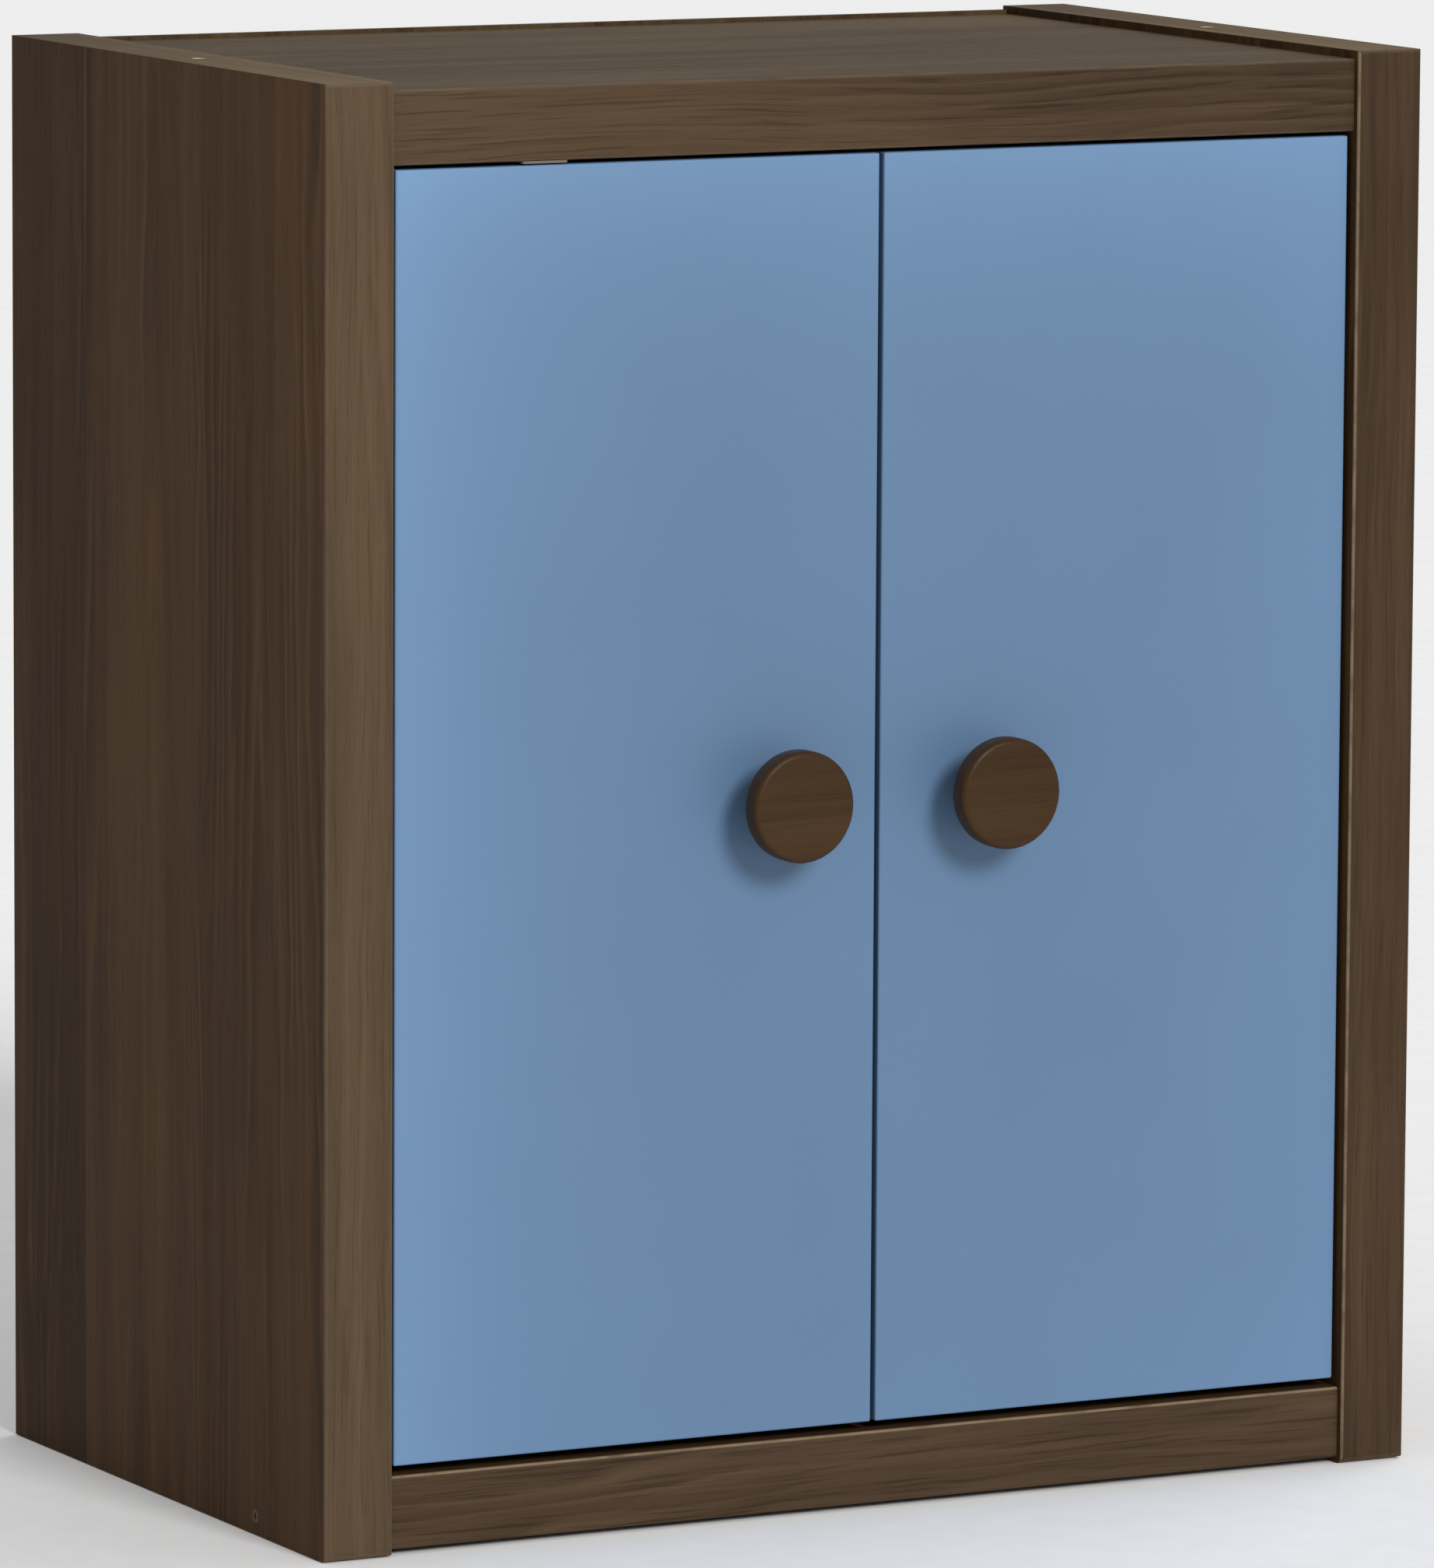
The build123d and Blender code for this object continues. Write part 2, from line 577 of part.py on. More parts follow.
def knob(s):
    """A turned knob: thick disc, slim neck and flared foot."""
    length = DOOR_FRONT - (SIDE_FRONT - KNOB_REACH)
    face = KNOB_DIAMETER / 2
    neck = KNOB_NECK_DIAMETER / 2
    foot = KNOB_FOOT_DIAMETER / 2
    shoulder = length - KNOB_DISC
    under = (face - 7, shoulder - 1.2)
    outline = [Line((0, 0), (foot, 0)), Line((foot, 0), (foot, 2)),
               Spline((foot, 2), (neck, shoulder * 0.52), under, tangents=[(-1, 0.6), (1, 0.35)]),
               Spline(under, (face, shoulder + 4), tangents=[(1, 0.35), (0, 1)]),
               Line((face, shoulder + 4), (face, length - KNOB_ROUND)),
               RadiusArc((face, length - KNOB_ROUND), (face - KNOB_ROUND, length), -KNOB_ROUND),
               Line((face - KNOB_ROUND, length), (0, length)), Line((0, length), (0, 0))]
    body = revolve(Plane.XZ * make_face(outline), Axis.Z)
    body = Plane(origin=(s * KNOB_FROM_CENTRE, DOOR_FRONT, KNOB_Z), z_dir=(0, -1, 0)) * body
    bore_end = DOOR_FRONT - INSERT_LENGTH - 2
    bore = rod(INSERT_DIAMETER + JOIN, (s * KNOB_FROM_CENTRE, DOOR_FRONT + 1, KNOB_Z),
               (s * KNOB_FROM_CENTRE, bore_end, KNOB_Z))
    return body - bore


def knob_insert(s):
    x = s * KNOB_FROM_CENTRE
    sleeve = rod(INSERT_DIAMETER, (x, DOOR_FRONT - 0.5, KNOB_Z), (x, DOOR_FRONT - INSERT_LENGTH, KNOB_Z))
    end = (x, DOOR_FRONT - INSERT_LENGTH - 1, KNOB_Z)
    return sleeve - rod(KNOB_SCREW + JOIN, (x, DOOR_FRONT + 1, KNOB_Z), end)


def knob_screw(s):
    seat = (s * KNOB_FROM_CENTRE, DOOR_BACK, KNOB_Z)
    return pan_screw(KNOB_SCREW, 8.4, seat, DOOR_BOARD + INSERT_LENGTH - 1)


def strike_place(s):
    return s * 13.5, CEILING - CATCH_HEIGHT / 2 - 0.8


def strike_screw_hole(s):
    x, z = strike_place(s)
    face = DOOR_BACK + STRIKE_THICKNESS
    return countersunk(STRIKE_SCREW + JOIN, 2 * STRIKE_SCREW + JOIN, (x, face, z), (x, face - 14, z))


def strike_plate(s):
    """The steel plate on the door that the magnet holds."""
    x, z = strike_place(s)
    plate = block(x - 11, x + 11, DOOR_BACK, DOOR_BACK + STRIKE_THICKNESS, z - 5.2, z + 5.2)
    plate = soften(plate, 2.0, lambda e: along(e, Vector(0, 1, 0)))
    return plate - strike_screw_hole(s)


def strike_screw(s):
    x, z = strike_place(s)
    face = DOOR_BACK + STRIKE_THICKNESS
    return screw(STRIKE_SCREW, 2 * STRIKE_SCREW, (x, face, z), (x, face - 13, z))


def catch_front():
    return DOOR_BACK + STRIKE_THICKNESS + CATCH_GAP


def catch_housing():
    """A plastic block under the top board with a pocket for each magnet and two screw holes."""
    y0 = catch_front() + 0.8
    y1 = catch_front() + CATCH_DEPTH
    half = CATCH_WIDTH / 2
    body = block(-half, half, y0, y1, CEILING - CATCH_HEIGHT, CEILING - 0.05)
    body = soften(body, 1.5, lambda e: e.center().Z < CEILING - 1 and not along(e, Vector(0, 0, 1)))
    for s in SIDES.values():
        body -= block(s * 3, s * 17, y0 - 1, y0 + 11, CEILING - CATCH_HEIGHT + 2, CEILING - 2)
        x, y = catch_screw_place(s)
        under = CEILING - CATCH_HEIGHT
        body -= countersunk(CATCH_SCREW + JOIN, 2 * CATCH_SCREW + JOIN, (x, y, under), (x, y, CEILING + 10))
    return body


def catch_magnet(s):
    y0 = catch_front() + 1.6
    z = CEILING - CATCH_HEIGHT / 2
    return block(s * 5.3, s * 14.7, y0, y0 + 9.4, z - 4.6, z + 4.6)


def catch_poles(s):
    """Two steel plates that stand a little proud of each magnet."""
    z = CEILING - CATCH_HEIGHT / 2
    y0 = catch_front()
    return [block(s * x, s * (x + 1.8), y0, y0 + 11, z - 4.6, z + 4.6) for x in (3.3, 14.9)]


def catch_screw_place(s):
    return s * (CATCH_WIDTH / 2 - 4.5), catch_front() + CATCH_DEPTH / 2


def catch_screw(s):
    x, y = catch_screw_place(s)
    under = CEILING - CATCH_HEIGHT
    end = (x, y, CEILING + CATCH_SCREW_LENGTH - 1)
    return screw(CATCH_SCREW, 2 * CATCH_SCREW, (x, y, under), end)


def gap_pad():
    """A thin pale pad under the top board, in the gap above the left door."""
    x0 = -INNER + PAD_FROM_INNER_FACE
    pad = block(x0, x0 + PAD_WIDTH, CASE_FRONT + 0.8, CASE_FRONT + 0.8 + PAD_DEPTH, CEILING - PAD_THICKNESS,
                CEILING - 0.02)
    return soften(pad, 1.5, lambda e: along(e, Vector(0, 0, 1)))


def build():
    """Every node of the cabinet, by name."""
    nodes = {
        "top_panel": top_panel(),
        "bottom_panel": bottom_panel(),
        "back_panel": back_panel(),
        "top_front_band": board_band(CEILING, CEILING + BOARD, CASE_FRONT),
        "bottom_front_band": board_band(LIP_BOTTOM, FLOOR, CASE_FRONT),
        "shelf": shelf(),
        "shelf_front_band": shelf_band(),
        "shelf_pins": [shelf_pin(s, y) for s in SIDES.values() for y in shelf_hole_rows()],
        "cam_locks": [cam_lock(*place_of) for place_of in case_joints()],
        "cam_bolts": [cam_bolt(s, y, z) for s, y, z, _ in case_joints()],
        "wood_dowels": [wood_dowel(s, y, z) for s, y, z, _ in case_joints()],
        "side_lock_screws": [lock_screw(s) for s in SIDES.values()],
        "stacking_sleeves": [stacking_sleeve(s) for s in SIDES.values()],
        "back_panel_screws": [back_screw(x, z) for x, z in back_screw_places()],
        "gap_pad": gap_pad(),
        "catch_housing": catch_housing(),
        "catch_magnets": [catch_magnet(s) for s in SIDES.values()],
        "catch_pole_plates": [pole for s in SIDES.values() for pole in catch_poles(s)],
        "catch_screws": [catch_screw(s) for s in SIDES.values()],
        "hinge_plate_screws": [plate_screw(s, y, z) for s in SIDES.values() for hinge_z in HINGE_Z.values()
                               for y, z in plate_screw_places(hinge_z)],
        "hinge_arm_screws": [piece for s in SIDES.values() for z in HINGE_Z.values()
                             for piece in arm_screws(s, z)],
    }
    for name, s in SIDES.items():
        nodes[name + "_side_panel"] = side_panel(s)
        nodes[name + "_front_band"] = side_band(s)
        nodes[name + "_door_panel"] = door_panel(s)
        nodes[name + "_knob"] = knob(s)
        nodes[name + "_knob_insert"] = knob_insert(s)
        nodes[name + "_knob_screw"] = knob_screw(s)
        nodes[name + "_strike_plate"] = strike_plate(s)
        nodes[name + "_strike_screw"] = strike_screw(s)
        nodes[name + "_hinge_pins"] = [hinge_pin(s, z) for z in HINGE_Z.values()]
        nodes[name + "_cup_screws"] = [cup_screw(x, screw_z) for z in HINGE_Z.values()
                                       for x, screw_z in cup_screw_places(s, z)]
        for level, z in HINGE_Z.items():
            nodes[f"{level}_{name}_hinge_cup"] = hinge_cup(s, z)
            nodes[f"{level}_{name}_hinge_arm"] = hinge_arm(s, z)
            nodes[f"{level}_{name}_hinge_plate"] = hinge_plate(s, z)
    return nodes


os.makedirs("parts", exist_ok=True)
for node, shape in build().items():
    solids = shape if isinstance(shape, list) else [shape]
    pieces = [solid for item in solids for solid in item.solids()]
    export_step(Compound(children=pieces) if len(pieces) > 1 else pieces[0], f"parts/{node}.step")
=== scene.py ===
import math

import bmesh
import bpy
from mathutils import Matrix, Vector


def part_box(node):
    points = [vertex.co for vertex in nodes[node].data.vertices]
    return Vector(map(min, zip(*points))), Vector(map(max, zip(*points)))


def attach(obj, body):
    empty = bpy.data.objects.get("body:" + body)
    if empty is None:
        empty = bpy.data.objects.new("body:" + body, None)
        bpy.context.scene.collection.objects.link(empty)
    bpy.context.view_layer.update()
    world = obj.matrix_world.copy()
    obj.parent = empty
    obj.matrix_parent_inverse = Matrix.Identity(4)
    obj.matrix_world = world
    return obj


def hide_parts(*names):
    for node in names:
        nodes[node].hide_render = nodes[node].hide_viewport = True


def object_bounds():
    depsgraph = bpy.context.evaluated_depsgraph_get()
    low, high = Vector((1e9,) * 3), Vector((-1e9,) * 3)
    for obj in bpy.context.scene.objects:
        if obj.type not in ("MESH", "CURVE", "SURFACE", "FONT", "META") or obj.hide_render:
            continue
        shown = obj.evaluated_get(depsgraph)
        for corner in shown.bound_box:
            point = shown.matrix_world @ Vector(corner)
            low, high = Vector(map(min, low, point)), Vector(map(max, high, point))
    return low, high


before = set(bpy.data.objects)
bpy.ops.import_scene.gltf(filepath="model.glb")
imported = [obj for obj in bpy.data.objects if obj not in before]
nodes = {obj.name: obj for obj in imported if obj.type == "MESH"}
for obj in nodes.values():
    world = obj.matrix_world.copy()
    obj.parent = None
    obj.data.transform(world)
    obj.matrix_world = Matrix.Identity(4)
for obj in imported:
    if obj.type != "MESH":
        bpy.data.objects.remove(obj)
cad_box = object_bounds()
scene = bpy.context.scene


# ---------------------------------------------------------------- node trees
class Tree:
    """A material's node tree, with one short call for each kind of node."""

    def __init__(self, name):
        self.material = bpy.data.materials.new(name)
        self.material.use_nodes = True
        self.nodes = self.material.node_tree.nodes
        self.links = self.material.node_tree.links
        self.nodes.clear()
        place = self.add("ShaderNodeTexCoord")
        self.place = place.outputs["Object"]
        self.facing = place.outputs["Normal"]

    def add(self, kind, **settings):
        node = self.nodes.new(kind)
        for key, value in settings.items():
            setattr(node, key, value)
        return node

    def put(self, socket, value):
        if isinstance(value, bpy.types.NodeSocket):
            self.links.new(value, socket)
        else:
            socket.default_value = value

    def math(self, operation, a, b=0.0):
        node = self.add("ShaderNodeMath", operation=operation)
        self.put(node.inputs[0], a)
        self.put(node.inputs[1], b)
        return node.outputs[0]

    def scaled(self, value, factor, offset=0.0):
        node = self.add("ShaderNodeMath", operation="MULTIPLY_ADD")
        for socket, part in zip(node.inputs, (value, factor, offset)):
            self.put(socket, part)
        return node.outputs[0]

    def total(self, *values):
        out = values[0]
        for value in values[1:]:
            out = self.math("ADD", out, value)
        return out

    def split(self, vector):
        node = self.add("ShaderNodeSeparateXYZ")
        self.put(node.inputs[0], vector)
        return node.outputs[0], node.outputs[1], node.outputs[2]

    def join(self, x, y, z):
        node = self.add("ShaderNodeCombineXYZ")
        for socket, value in zip(node.inputs, (x, y, z)):
            self.put(socket, value)
        return node.outputs[0]

    def blend(self, factor, a, b):
        """Between two places."""
        node = self.add("ShaderNodeMix", data_type="VECTOR")
        for socket, value in zip((0, 4, 5), (factor, a, b)):
            self.put(node.inputs[socket], value)
        return node.outputs[1]

    def mix(self, factor, a, b, mode="MIX"):
        """Between two colours."""
        node = self.add("ShaderNodeMix", data_type="RGBA", blend_type=mode)
        for socket, value in zip((0, 6, 7), (factor, a, b)):
            self.put(node.inputs[socket], value)
        return node.outputs[2]

    def noise(self, vector, detail=2.0, roughness=0.5, scale=1.0):
        node = self.add("ShaderNodeTexNoise", noise_dimensions="3D")
        self.put(node.inputs["Vector"], vector)
        node.inputs["Scale"].default_value = scale
        node.inputs["Detail"].default_value = detail
        node.inputs["Roughness"].default_value = roughness
        node.inputs["Distortion"].default_value = 0.0
        return node.outputs["Fac"]

    def step(self, value, low, high, start=0.0, end=1.0):
        """A smooth step from start to end while the value goes from low to high."""
        node = self.add("ShaderNodeMapRange", interpolation_type="SMOOTHSTEP")
        self.put(node.inputs["Value"], value)
        for socket, number in zip(("From Min", "From Max", "To Min", "To Max"), (low, high, start, end)):
            node.inputs[socket].default_value = number
        return node.outputs["Result"]

    def pulse(self, value, start, peak, end):
        """A smooth rise from start to peak, and a fall to end."""
        return self.math("MULTIPLY", self.step(value, start, peak), self.step(value, peak, end, 1.0, 0.0))

    def fading(self, place, edge, reach):
        """1 at an edge, fading away below it, or above it when the reach is negative."""
        return self.math("EXPONENT", self.scaled(place, 1 / reach, -edge / reach))

    def ramp(self, factor, stops):
        node = self.add("ShaderNodeValToRGB")
        self.put(node.inputs[0], factor)
        ramp = node.color_ramp
        while len(ramp.elements) < len(stops):
            ramp.elements.new(0.5)
        for element, (where, colour) in zip(ramp.elements, stops):
            element.position = where
            element.color = (*colour, 1.0)
        return node.outputs[0]

    def bump(self, height, strength, distance):
        node = self.add("ShaderNodeBump")
        node.inputs["Strength"].default_value = strength
        node.inputs["Distance"].default_value = distance
        self.put(node.inputs["Height"], height)
        return node.outputs[0]

    def finish(self, colour, roughness, normal=None, metallic=0.0, specular=0.5, glint=(1.0, 1.0, 1.0)):
        shader = self.add("ShaderNodeBsdfPrincipled")
        self.put(shader.inputs["Base Color"], colour)
        self.put(shader.inputs["Roughness"], roughness)
        shader.inputs["Metallic"].default_value = metallic
        shader.inputs["Specular IOR Level"].default_value = specular
        shader.inputs["Specular Tint"].default_value = (*glint, 1.0)
        if normal is not None:
            self.put(shader.inputs["Normal"], normal)
        output = self.add("ShaderNodeOutputMaterial")
        self.links.new(shader.outputs[0], output.inputs[0])
        return self.material


def srgb(red, green, blue):
    """A colour given in 0-255 screen values, as the linear numbers a shader takes."""
    return tuple(
        c / 12.92 if c <= 0.04045 else ((c + 0.055) / 1.055) ** 2.4
        for c in (red / 255, green / 255, blue / 255)
    )


# ---------------------------------------------------------------- walnut
AXES = "XYZ"
WALNUT = (
    (0.00, srgb(38, 25, 15)),
    (0.30, srgb(61, 43, 28)),
    (0.52, srgb(78, 57, 39)),
    (0.74, srgb(93, 70, 49)),
    (1.00, srgb(124, 98, 70)),
)
AMBER_WOOD = srgb(86, 66, 42)     # the warmer patches
# the lighter arrises: rubbed wear and a painted highlight
RUBBED_AND_LIT_ARRIS = srgb(158, 136, 110)
MEAN_TONE = 0.46                  # where plain wood lies on the ramp
RING = 0.0095                     # one growth ring, in metres
HEART = 0.00012                   # squared distance of the cut from the middle of the log


def tinted(red, green, blue, stops=WALNUT):
    """The same ramp of woods, warmer or cooler."""
    return tuple((w, (c[0] * red, c[1] * green, c[2] * blue)) for w, c in stops)


def walnut(
    name, grain, across, seed=0.0, leaf_width=0.05, tone=0.0, leaves=0.24, figure=0.20,
    streaks=0.60, stops=WALNUT, dashes=0.10, light_lines=0.10, drift=("Y", 0.0), shine=0.12,
    rough=0.44, painted_end_sheen=None, edge_tone=0.0, rub_and_highlight=0.35, worn_and_lit_side=None, glint=(1.0, 1.0, 1.0),
):
    """Walnut veneer in strips of leaf_width, with its grain along one axis.

    The grain turns to run along the edge banding on the faces across its ends. The numbers from
    tone to light_lines say how far each part of the pattern moves the wood along its ramp of
    colours. drift is a slow change along an axis: a painted falloff of light. The end faces can be
    lightened as a painted sheen, and the rounded arrises lightened partly as rubbed wear and partly as a
    painted highlight, on one chosen side of an axis if one is given.
    """
    t = Tree(name)
    axes = dict(zip(AXES, t.split(t.place)))
    facing = dict(zip(AXES, t.split(t.facing)))
    flat = {a: t.math("ABSOLUTE", facing[a]) for a in AXES}
    depth = next(a for a in AXES if a not in (grain, across))
    end_face = t.step(flat[grain], 0.6, 0.8)
    edge_face = t.step(flat[across], 0.6, 0.8)
    placed = t.blend(
        end_face,
        t.join(axes[across], axes[grain], axes[depth]),
        t.join(axes[depth], axes[across], axes[grain]),
    )
    if edge_tone:
        placed = t.blend(edge_face, placed, t.join(axes[depth], axes[grain], axes[across]))
    straight, run, inward = t.split(placed)

    def pattern(u, v, across_rate, along_rate, shift=0.0, inward_rate=0.0, detail=2.0, roughness=0.5):
        """Noise drawn out along the grain, with its rates to the metre."""
        third = t.scaled(inward, inward_rate, seed + shift) if inward_rate else seed + shift
        return t.noise(t.join(t.scaled(u, across_rate), t.scaled(v, along_rate), third), detail, roughness)

    # the fibres wander a little from a straight line
    sway = pattern(straight, run, 9.0, 2.6, 40.0, detail=1.0)
    shake = pattern(straight, run, 55.0, 13.0, 41.0)
    w = t.total(straight, t.scaled(sway, 0.020, -0.010), t.scaled(shake, 0.0040, -0.0020))

    # leaves: strips of veneer laid side by side, each with its own tone and figure
    cells = t.add("ShaderNodeTexVoronoi", voronoi_dimensions="1D")
    cells.inputs["Scale"].default_value = 1.0
    cells.inputs["Randomness"].default_value = 0.85
    t.put(cells.inputs["W"], t.scaled(t.total(straight, t.scaled(sway, 0.004)), 1 / leaf_width, seed))
    leaf, leaf_turn, _ = t.split(cells.outputs["Color"])
    local = t.math("SUBTRACT", t.scaled(straight, 1 / leaf_width, seed), cells.outputs["W"])
    local = t.scaled(local, leaf_width)
    shifted = t.scaled(leaf, 9.0, run)

    # growth rings of a tapering log, cut flat: arches in the middle of a leaf, lines at its sides
    bend = pattern(w, shifted, 20.0, 2.2, 0.0, 9.0, 3.0, 0.55)
    aside = t.total(local, t.scaled(leaf_turn, 0.05, -0.025), t.scaled(bend, 0.060, -0.030))
    radius = t.math("SQRT", t.total(t.math("MULTIPLY", aside, aside), HEART))
    ripple = pattern(w, shifted, 240.0, 12.0)
    reach = t.total(radius, t.scaled(shifted, 0.030), t.scaled(inward, 0.5), t.scaled(ripple, 0.0022))
    saw = t.math("FRACT", t.scaled(reach, 1 / RING))
    late = t.pulse(saw, 0.20, 0.90, 1.0)
    early = t.pulse(saw, 0.0, 0.10, 0.32)
    ring_fade = t.step(pattern(w, shifted, 26.0, 2.6, 8.0), 0.38, 0.66)
    ring_fade = t.math("MULTIPLY", ring_fade, t.scaled(end_face, -0.7, 1.0))
    rings = t.math("MULTIPLY", t.total(t.scaled(early, 0.55), t.scaled(late, -1.0)), ring_fade)

    # fibres at three widths, short dark dashes, thin light lines, and pores
    broad = pattern(w, shifted, 52.0, 1.5, 0.0, 30.0, 3.0, 0.55)
    middle = pattern(w, shifted, 240.0, 4.5, 0.0, 90.0, 3.0, 0.6)
    fine = pattern(w, shifted, 1150.0, 17.0, 0.0, 400.0, 2.0, 0.6)
    dash = t.step(pattern(w, shifted, 640.0, 13.0, 12.0, 200.0), 0.54, 0.68)
    pale_line = t.step(pattern(w, shifted, 200.0, 2.4, 17.0), 0.63, 0.78)
    pores = t.step(pattern(w, shifted, 2500.0, 85.0, 0.0, 900.0, 1.0), 0.60, 0.72)
    cloud = pattern(straight, run, 9.0, 5.0, 20.0)
    value = t.total(
        t.scaled(leaf, leaves, MEAN_TONE - leaves / 2 + tone),
        t.scaled(rings, figure),
        t.scaled(broad, streaks, -streaks / 2),
        t.scaled(middle, streaks * 0.55, -streaks * 0.275),
        t.scaled(fine, streaks * 0.40, -streaks * 0.20),
        t.scaled(dash, -dashes),
        t.scaled(pale_line, light_lines),
        t.scaled(cloud, 0.26, -0.13),
        t.scaled(pores, -0.10),
        # drift: a painted falloff of light, darker along one axis
        t.scaled(axes[drift[0]], drift[1]),
        t.scaled(edge_face, edge_tone),
    )
    colour = t.ramp(value, stops)
    hue = t.step(pattern(w, shifted, 14.0, 2.0, 31.0), 0.35, 0.75, 0.0, 0.10)
    colour = t.mix(hue, colour, (*AMBER_WOOD, 1.0))
    # painted sheen: the end faces are lightened, a stand-in for the glare of light grazing them
    if painted_end_sheen:
        colour = t.mix(end_face, colour, t.mix(1.0, colour, (*painted_end_sheen, 1.0), "MULTIPLY"))
    if rub_and_highlight:
        # the rounded arrises are lighter: partly rubbed wear, partly a painted highlight
        flattest = t.math("MAXIMUM", flat["X"], t.math("MAXIMUM", flat["Y"], flat["Z"]))
        arris = t.step(flattest, 0.88, 0.995, 1.0, 0.0)
        rub_and_glint_patches = t.noise(t.place, 3.0, 0.6, scale=60.0)
        arris = t.math("MULTIPLY", arris, t.step(rub_and_glint_patches, 0.30, 0.62, rub_and_highlight * 0.5, rub_and_highlight))
        # only on the side where the light catches the arrises: the painted highlight there, with the rub
        if worn_and_lit_side:
            arris = t.math("MULTIPLY", arris, t.step(t.scaled(facing[worn_and_lit_side[0]], worn_and_lit_side[1]), -0.05, 0.15))
        colour = t.mix(arris, colour, (*RUBBED_AND_LIT_ARRIS, 1.0))
    relief = t.total(t.scaled(fine, 0.5), t.scaled(middle, 0.35), t.scaled(pores, -0.7), t.scaled(dash, -0.2))
    gloss = t.total(t.scaled(fine, 0.16, rough - 0.08), t.scaled(late, -0.05), t.scaled(pores, 0.10))
    return t.finish(colour, gloss, t.bump(relief, 0.22, 0.00025), specular=shine, glint=glint)


# ---------------------------------------------------------------- other materials
def paint(name, base, left):
    """Satin sprayed paint: orange peel, faint mottling, and a painted sheen near the outer and top edges, a
    lighter colour standing in for reflected light.

    The painted sheen is laid out on the left door, and the right door mirrors it, fainter at its outer edge.
    """
    t = Tree(name)
    x, y, z = t.split(t.place)
    low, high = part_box(left)
    inward = t.math("ABSOLUTE", x)
    outer = t.fading(inward, abs(low.x), 0.050)
    inner = t.fading(inward, abs(high.x), -0.030)
    upper = t.fading(z, high.z, 0.055)
    lower = t.fading(z, low.z, -0.060)
    mottle = t.noise(t.join(t.scaled(x, 9.0), t.scaled(y, 9.0), t.scaled(z, 7.0)))
    # painted sheen: lighter near the outer and top edges and strongest at the left door's outer edge,
    # standing in for reflected light; the mottle is the paint's own
    light = t.total(
        t.math("MULTIPLY", outer, t.scaled(x, -0.62, 0.34)),
        t.scaled(upper, 0.46),
        t.scaled(lower, 0.10),
        t.scaled(inner, 0.03),
        t.scaled(mottle, 0.16, 0.04),
    )
    deep = tuple(c * 0.92 for c in base)
    pale = tuple(min(1.0, c * 1.62 + 0.006) for c in base)
    colour = t.ramp(light, ((0.0, deep), (1.0, pale)))
    peel = t.noise(t.place, 2.0, 0.4, scale=520.0)
    dust = t.noise(t.place, 1.0, scale=2600.0)
    roll = t.noise(t.place, 1.0, scale=60.0)
    relief = t.total(t.scaled(peel, 0.6), t.scaled(dust, 0.12), t.scaled(roll, 0.8))
    gloss = t.total(t.scaled(roll, 0.08, 0.40), t.scaled(dust, 0.05))
    return t.finish(colour, gloss, t.bump(relief, 0.10, 0.0002), specular=0.45)


def metal(name, base, rough, brushed, grime, metallic=1.0):
    """Plated or cast metal: brushing along one axis, fine scratches and duller patches."""
    t = Tree(name)
    axes = dict(zip(AXES, t.split(t.place)))
    lines = t.noise(t.join(*[t.scaled(axes[a], 260.0 if a == brushed else 4200.0) for a in AXES]), 2.0, 0.6)
    patch = t.noise(t.place, 3.0, 0.6, scale=130.0)
    speck = t.noise(t.place, scale=1900.0)
    shade = t.total(t.scaled(lines, 0.30), t.scaled(patch, 0.45), t.scaled(speck, 0.25))
    dark = tuple(c * (1 - grime * 1.6) for c in base)
    colour = t.ramp(shade, ((0.30, dark), (0.62, base)))
    normal = t.bump(t.total(t.scaled(lines, 0.5), t.scaled(speck, 0.5)), 0.12, 0.0001)
    gloss = t.total(t.scaled(patch, 0.22, rough - 0.11), t.scaled(lines, 0.14, -0.07))
    return t.finish(colour, gloss, normal, metallic=metallic)


def plastic(name, base, rough=0.42):
    """Moulded plastic with a fine spark-eroded texture and a faint drift of tone."""
    t = Tree(name)
    grit = t.noise(t.place, scale=2400.0)
    drift = t.noise(t.place, scale=45.0)
    dark = tuple(c * 0.86 for c in base)
    colour = t.ramp(t.total(t.scaled(drift, 0.7), t.scaled(grit, 0.3)), ((0.3, dark), (0.7, base)))
    gloss = t.total(t.scaled(grit, 0.16, rough - 0.08), t.scaled(drift, 0.08, -0.04))
    return t.finish(colour, gloss, t.bump(grit, 0.25, 0.00012), specular=0.45)


# ---------------------------------------------------------------- which piece has which material
BLUE = srgb(84, 113, 144)
WARM_GLINT = (1.0, 0.96, 0.78)
SIDE_WOOD = tinted(0.91, 0.85, 0.72)
# the top board's wood is lighter and greyer than the other boards: a painted sheen for the glare on the top
TOP_WOOD = tinted(1.06, 1.27, 1.10)
BOARD_WOOD = tinted(0.95, 0.95, 0.86)
BACK_WOOD = tinted(0.92, 1.05, 1.04)
KNOB_WOOD = tinted(0.63, 0.57, 0.37)
# the front bands and rails are tinted one by one, lighter at the left band and darker towards the right:
# painted light, standing in for how the light falls across the front
LEFT_BAND = tinted(1.14, 1.36, 1.50)
RIGHT_BAND = tinted(0.98, 1.07, 1.11)
TOP_RAIL = tinted(0.89, 1.01, 1.07)
LOWER_RAIL = tinted(0.86, 0.96, 1.02)
BEECH = ((0.0, srgb(150, 110, 76)), (0.5, srgb(190, 152, 112)), (1.0, srgb(214, 180, 142)))
